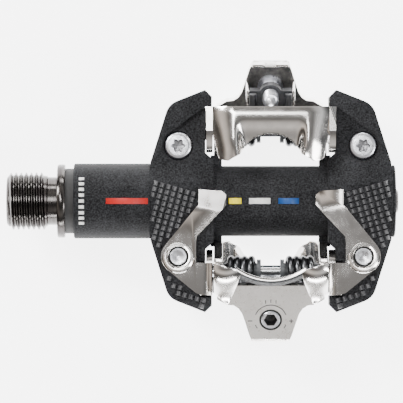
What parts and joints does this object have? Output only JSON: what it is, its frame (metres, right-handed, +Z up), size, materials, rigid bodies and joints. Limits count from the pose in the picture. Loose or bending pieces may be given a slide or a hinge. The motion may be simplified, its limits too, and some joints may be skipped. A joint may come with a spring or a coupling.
{
  "type": "clipless bicycle pedal",
  "caption": "Double-sided clipless mountain bike pedal: composite body with tread wings on a threaded spindle, fixed front claws and sprung rear claws with tension screws.",
  "frame": {"origin": "on the spindle axis, in the plane of the crank face where the spindle's flange seats", "axes": "+X runs outboard along the spindle, away from the crank; +Z is up out of side A; +Y points to side A's front claw"},
  "size_m": [0.0966, 0.0708, 0.027],
  "materials": {
    "spindle_steel": "dark polished",
    "composite": "moulded, fine grain",
    "seal_rubber": "matte",
    "bearing_steel": "ground",
    "cage_polymer": "moulded",
    "fitting_steel": "plain",
    "claw_steel": "bright plated",
    "fastener_steel": "satin plated",
    "dark_fitting": "satin",
    "spring_steel": "oiled dark"
  },
  "bodies": {
    "spindle": {"spindle": "spindle_steel", "inner_bearing_inner_ring": "bearing_steel", "outer_bearing_inner_ring": "bearing_steel", "bearing_spacer": "fitting_steel", "lock_washer": "fitting_steel", "lock_nut": "fitting_steel"},
    "pedal_body": {"body": "composite", "dust_seal": "seal_rubber", "end_cap": "composite", "end_cap_seal": "seal_rubber", "bearing_circlip": "fitting_steel", "needle_shell": "bearing_steel", "inner_bearing_outer_ring": "bearing_steel", "inner_bearing_shields": "fitting_steel", "outer_bearing_outer_ring": "bearing_steel", "outer_bearing_shields": "fitting_steel", "front_claw_a": "claw_steel", "front_claw_b": "claw_steel", "claw_pin_a": "fastener_steel", "claw_pin_b": "fastener_steel", "spring_sleeves_a": "dark_fitting", "spring_sleeves_b": "dark_fitting", "spring_a_left": "spring_steel", "spring_a_right": "spring_steel", "spring_b_left": "spring_steel", "spring_b_right": "spring_steel", "frame_bolts_a": "fastener_steel", "frame_bolts_b": "fastener_steel"},
    "rear_claw_a": {"rear_claw_a": "claw_steel"},
    "rear_claw_b": {"rear_claw_b": "claw_steel"},
    "tension_screw_a": {"tension_screw_a": "fastener_steel"},
    "tension_screw_b": {"tension_screw_b": "fastener_steel"},
    "tension_nut_a": {"tension_nut_a": "dark_fitting"},
    "tension_nut_b": {"tension_nut_b": "dark_fitting"},
    "inner_ball_set": {"inner_bearing_balls": "bearing_steel", "inner_bearing_cage": "cage_polymer"},
    "outer_ball_set": {"outer_bearing_balls": "bearing_steel", "outer_bearing_cage": "cage_polymer"},
    "needle_set": {"needle_rollers": "bearing_steel", "needle_cage": "cage_polymer"}
  },
  "joints": [
    {"name": "pedal_spin", "type": "hinge", "parent": "spindle", "child": "pedal_body", "pos_m": [0.053, 0, 0], "axis": [1, 0, 0], "continuous": true},
    {"name": "inner_balls_roll", "type": "hinge", "parent": "spindle", "child": "inner_ball_set", "pos_m": [0.0723, 0, 0], "axis": [1, 0, 0], "continuous": true},
    {"name": "outer_balls_roll", "type": "hinge", "parent": "spindle", "child": "outer_ball_set", "pos_m": [0.0778, 0, 0], "axis": [1, 0, 0], "continuous": true},
    {"name": "needles_roll", "type": "hinge", "parent": "spindle", "child": "needle_set", "pos_m": [0.0126, 0, 0], "axis": [1, 0, 0], "continuous": true},
    {"name": "rear_claw_a_open", "type": "hinge", "parent": "pedal_body", "child": "rear_claw_a", "pos_m": [0.053, -0.0174, 0.002], "axis": [1, 0, 0], "range_deg": [0, 18], "stiffness_Nm_per_rad": 0.3, "springref_deg": -5.16, "deforming": ["spring_a_left", "spring_a_right"]},
    {"name": "tension_screw_a_turn", "type": "hinge", "parent": "rear_claw_a", "child": "tension_screw_a", "pos_m": [0.053, -0.0295, 0.0045], "axis": [0, 0.3907, -0.9205], "range_deg": [0, 1650]},
    {"name": "tension_nut_a_slide", "type": "slide", "parent": "rear_claw_a", "child": "tension_nut_a", "axis": [0, 0.3907, -0.9205], "range_m": [0, 0.0032]},
    {"name": "rear_claw_b_open", "type": "hinge", "parent": "pedal_body", "child": "rear_claw_b", "pos_m": [0.053, 0.0174, -0.002], "axis": [1, 0, 0], "range_deg": [0, 18], "stiffness_Nm_per_rad": 0.3, "springref_deg": -5.16, "deforming": ["spring_b_left", "spring_b_right"]},
    {"name": "tension_screw_b_turn", "type": "hinge", "parent": "rear_claw_b", "child": "tension_screw_b", "pos_m": [0.053, 0.0295, -0.0045], "axis": [0, -0.3907, 0.9205], "range_deg": [0, 1650]},
    {"name": "tension_nut_b_slide", "type": "slide", "parent": "rear_claw_b", "child": "tension_nut_b", "axis": [0, -0.3907, 0.9205], "range_m": [0, 0.0032]}
  ],
  "couplings": [
    {"joint": "inner_balls_roll", "follows": "pedal_spin", "ratio": 0.6253},
    {"joint": "outer_balls_roll", "follows": "pedal_spin", "ratio": 0.6253},
    {"joint": "needles_roll", "follows": "pedal_spin", "ratio": 0.5741},
    {"joint": "tension_screw_a_turn", "follows": "tension_nut_a_slide", "rad_per_m": 8976},
    {"joint": "tension_screw_b_turn", "follows": "tension_nut_b_slide", "rad_per_m": 8976}
  ]
}
